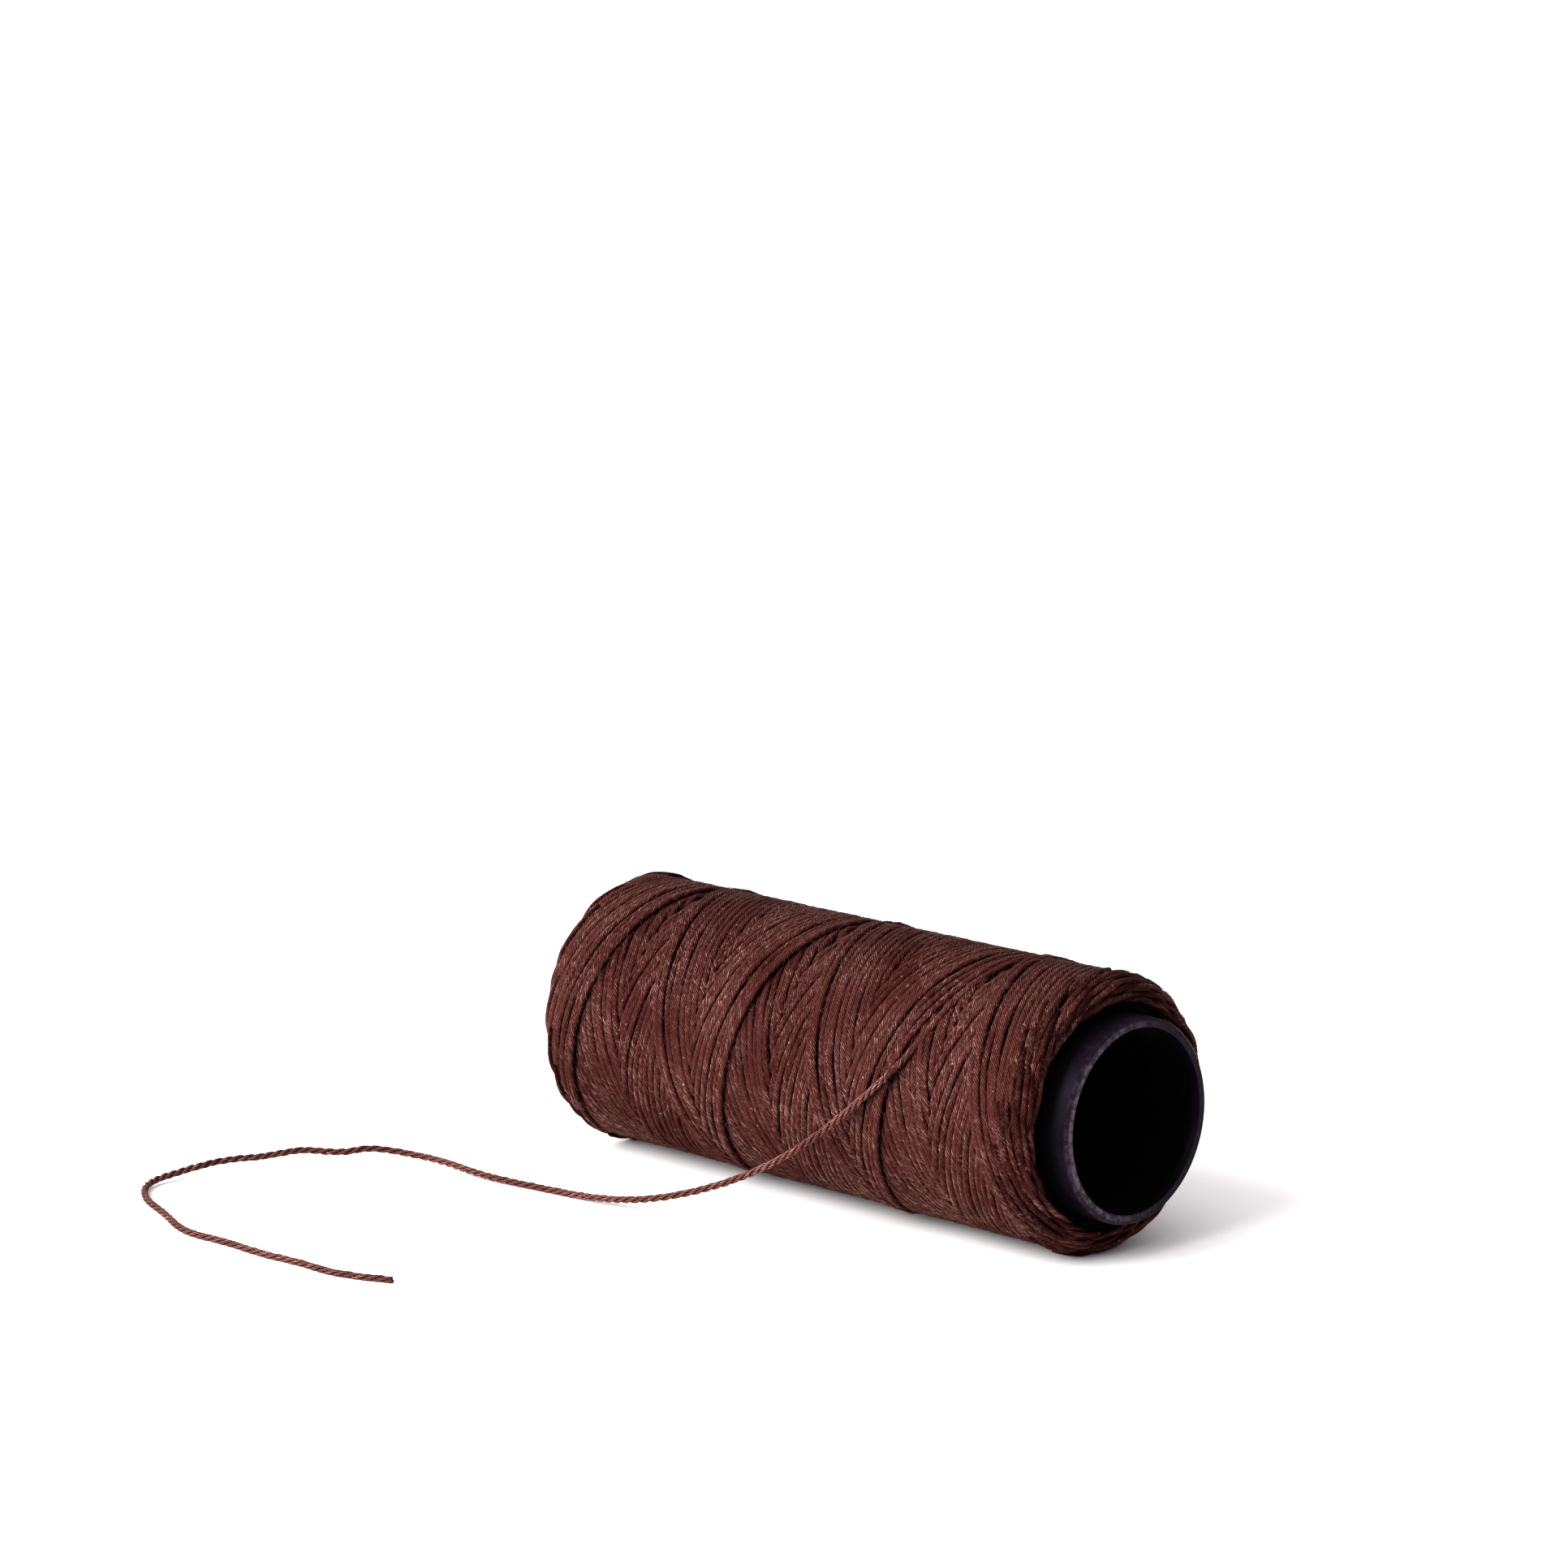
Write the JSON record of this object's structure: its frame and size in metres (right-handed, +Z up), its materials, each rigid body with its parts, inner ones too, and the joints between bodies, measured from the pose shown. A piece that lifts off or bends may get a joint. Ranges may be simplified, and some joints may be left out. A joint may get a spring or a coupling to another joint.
{
  "type": "waxed thread spool",
  "caption": "Waxed thread cross-wound on a hollow plastic core, lying on its side with the free end of the thread looped on the surface.",
  "frame": {"origin": "on the resting surface, below the middle of the core's length", "axes": "+X along the spool's axis towards the end where more of the core shows, +Z up, free end of the thread on the -Y side"},
  "size_m": [0.1274, 0.104, 0.0399],
  "materials": {
    "core_plastic": "black moulded plastic, satin, lightly scuffed",
    "waxed_thread": "dark brown twisted thread with a wax coat"
  },
  "bodies": {
    "root": {"moulded_core": "core_plastic", "thread_package": "waxed_thread", "thread_tail": "waxed_thread"}
  },
  "joints": []
}
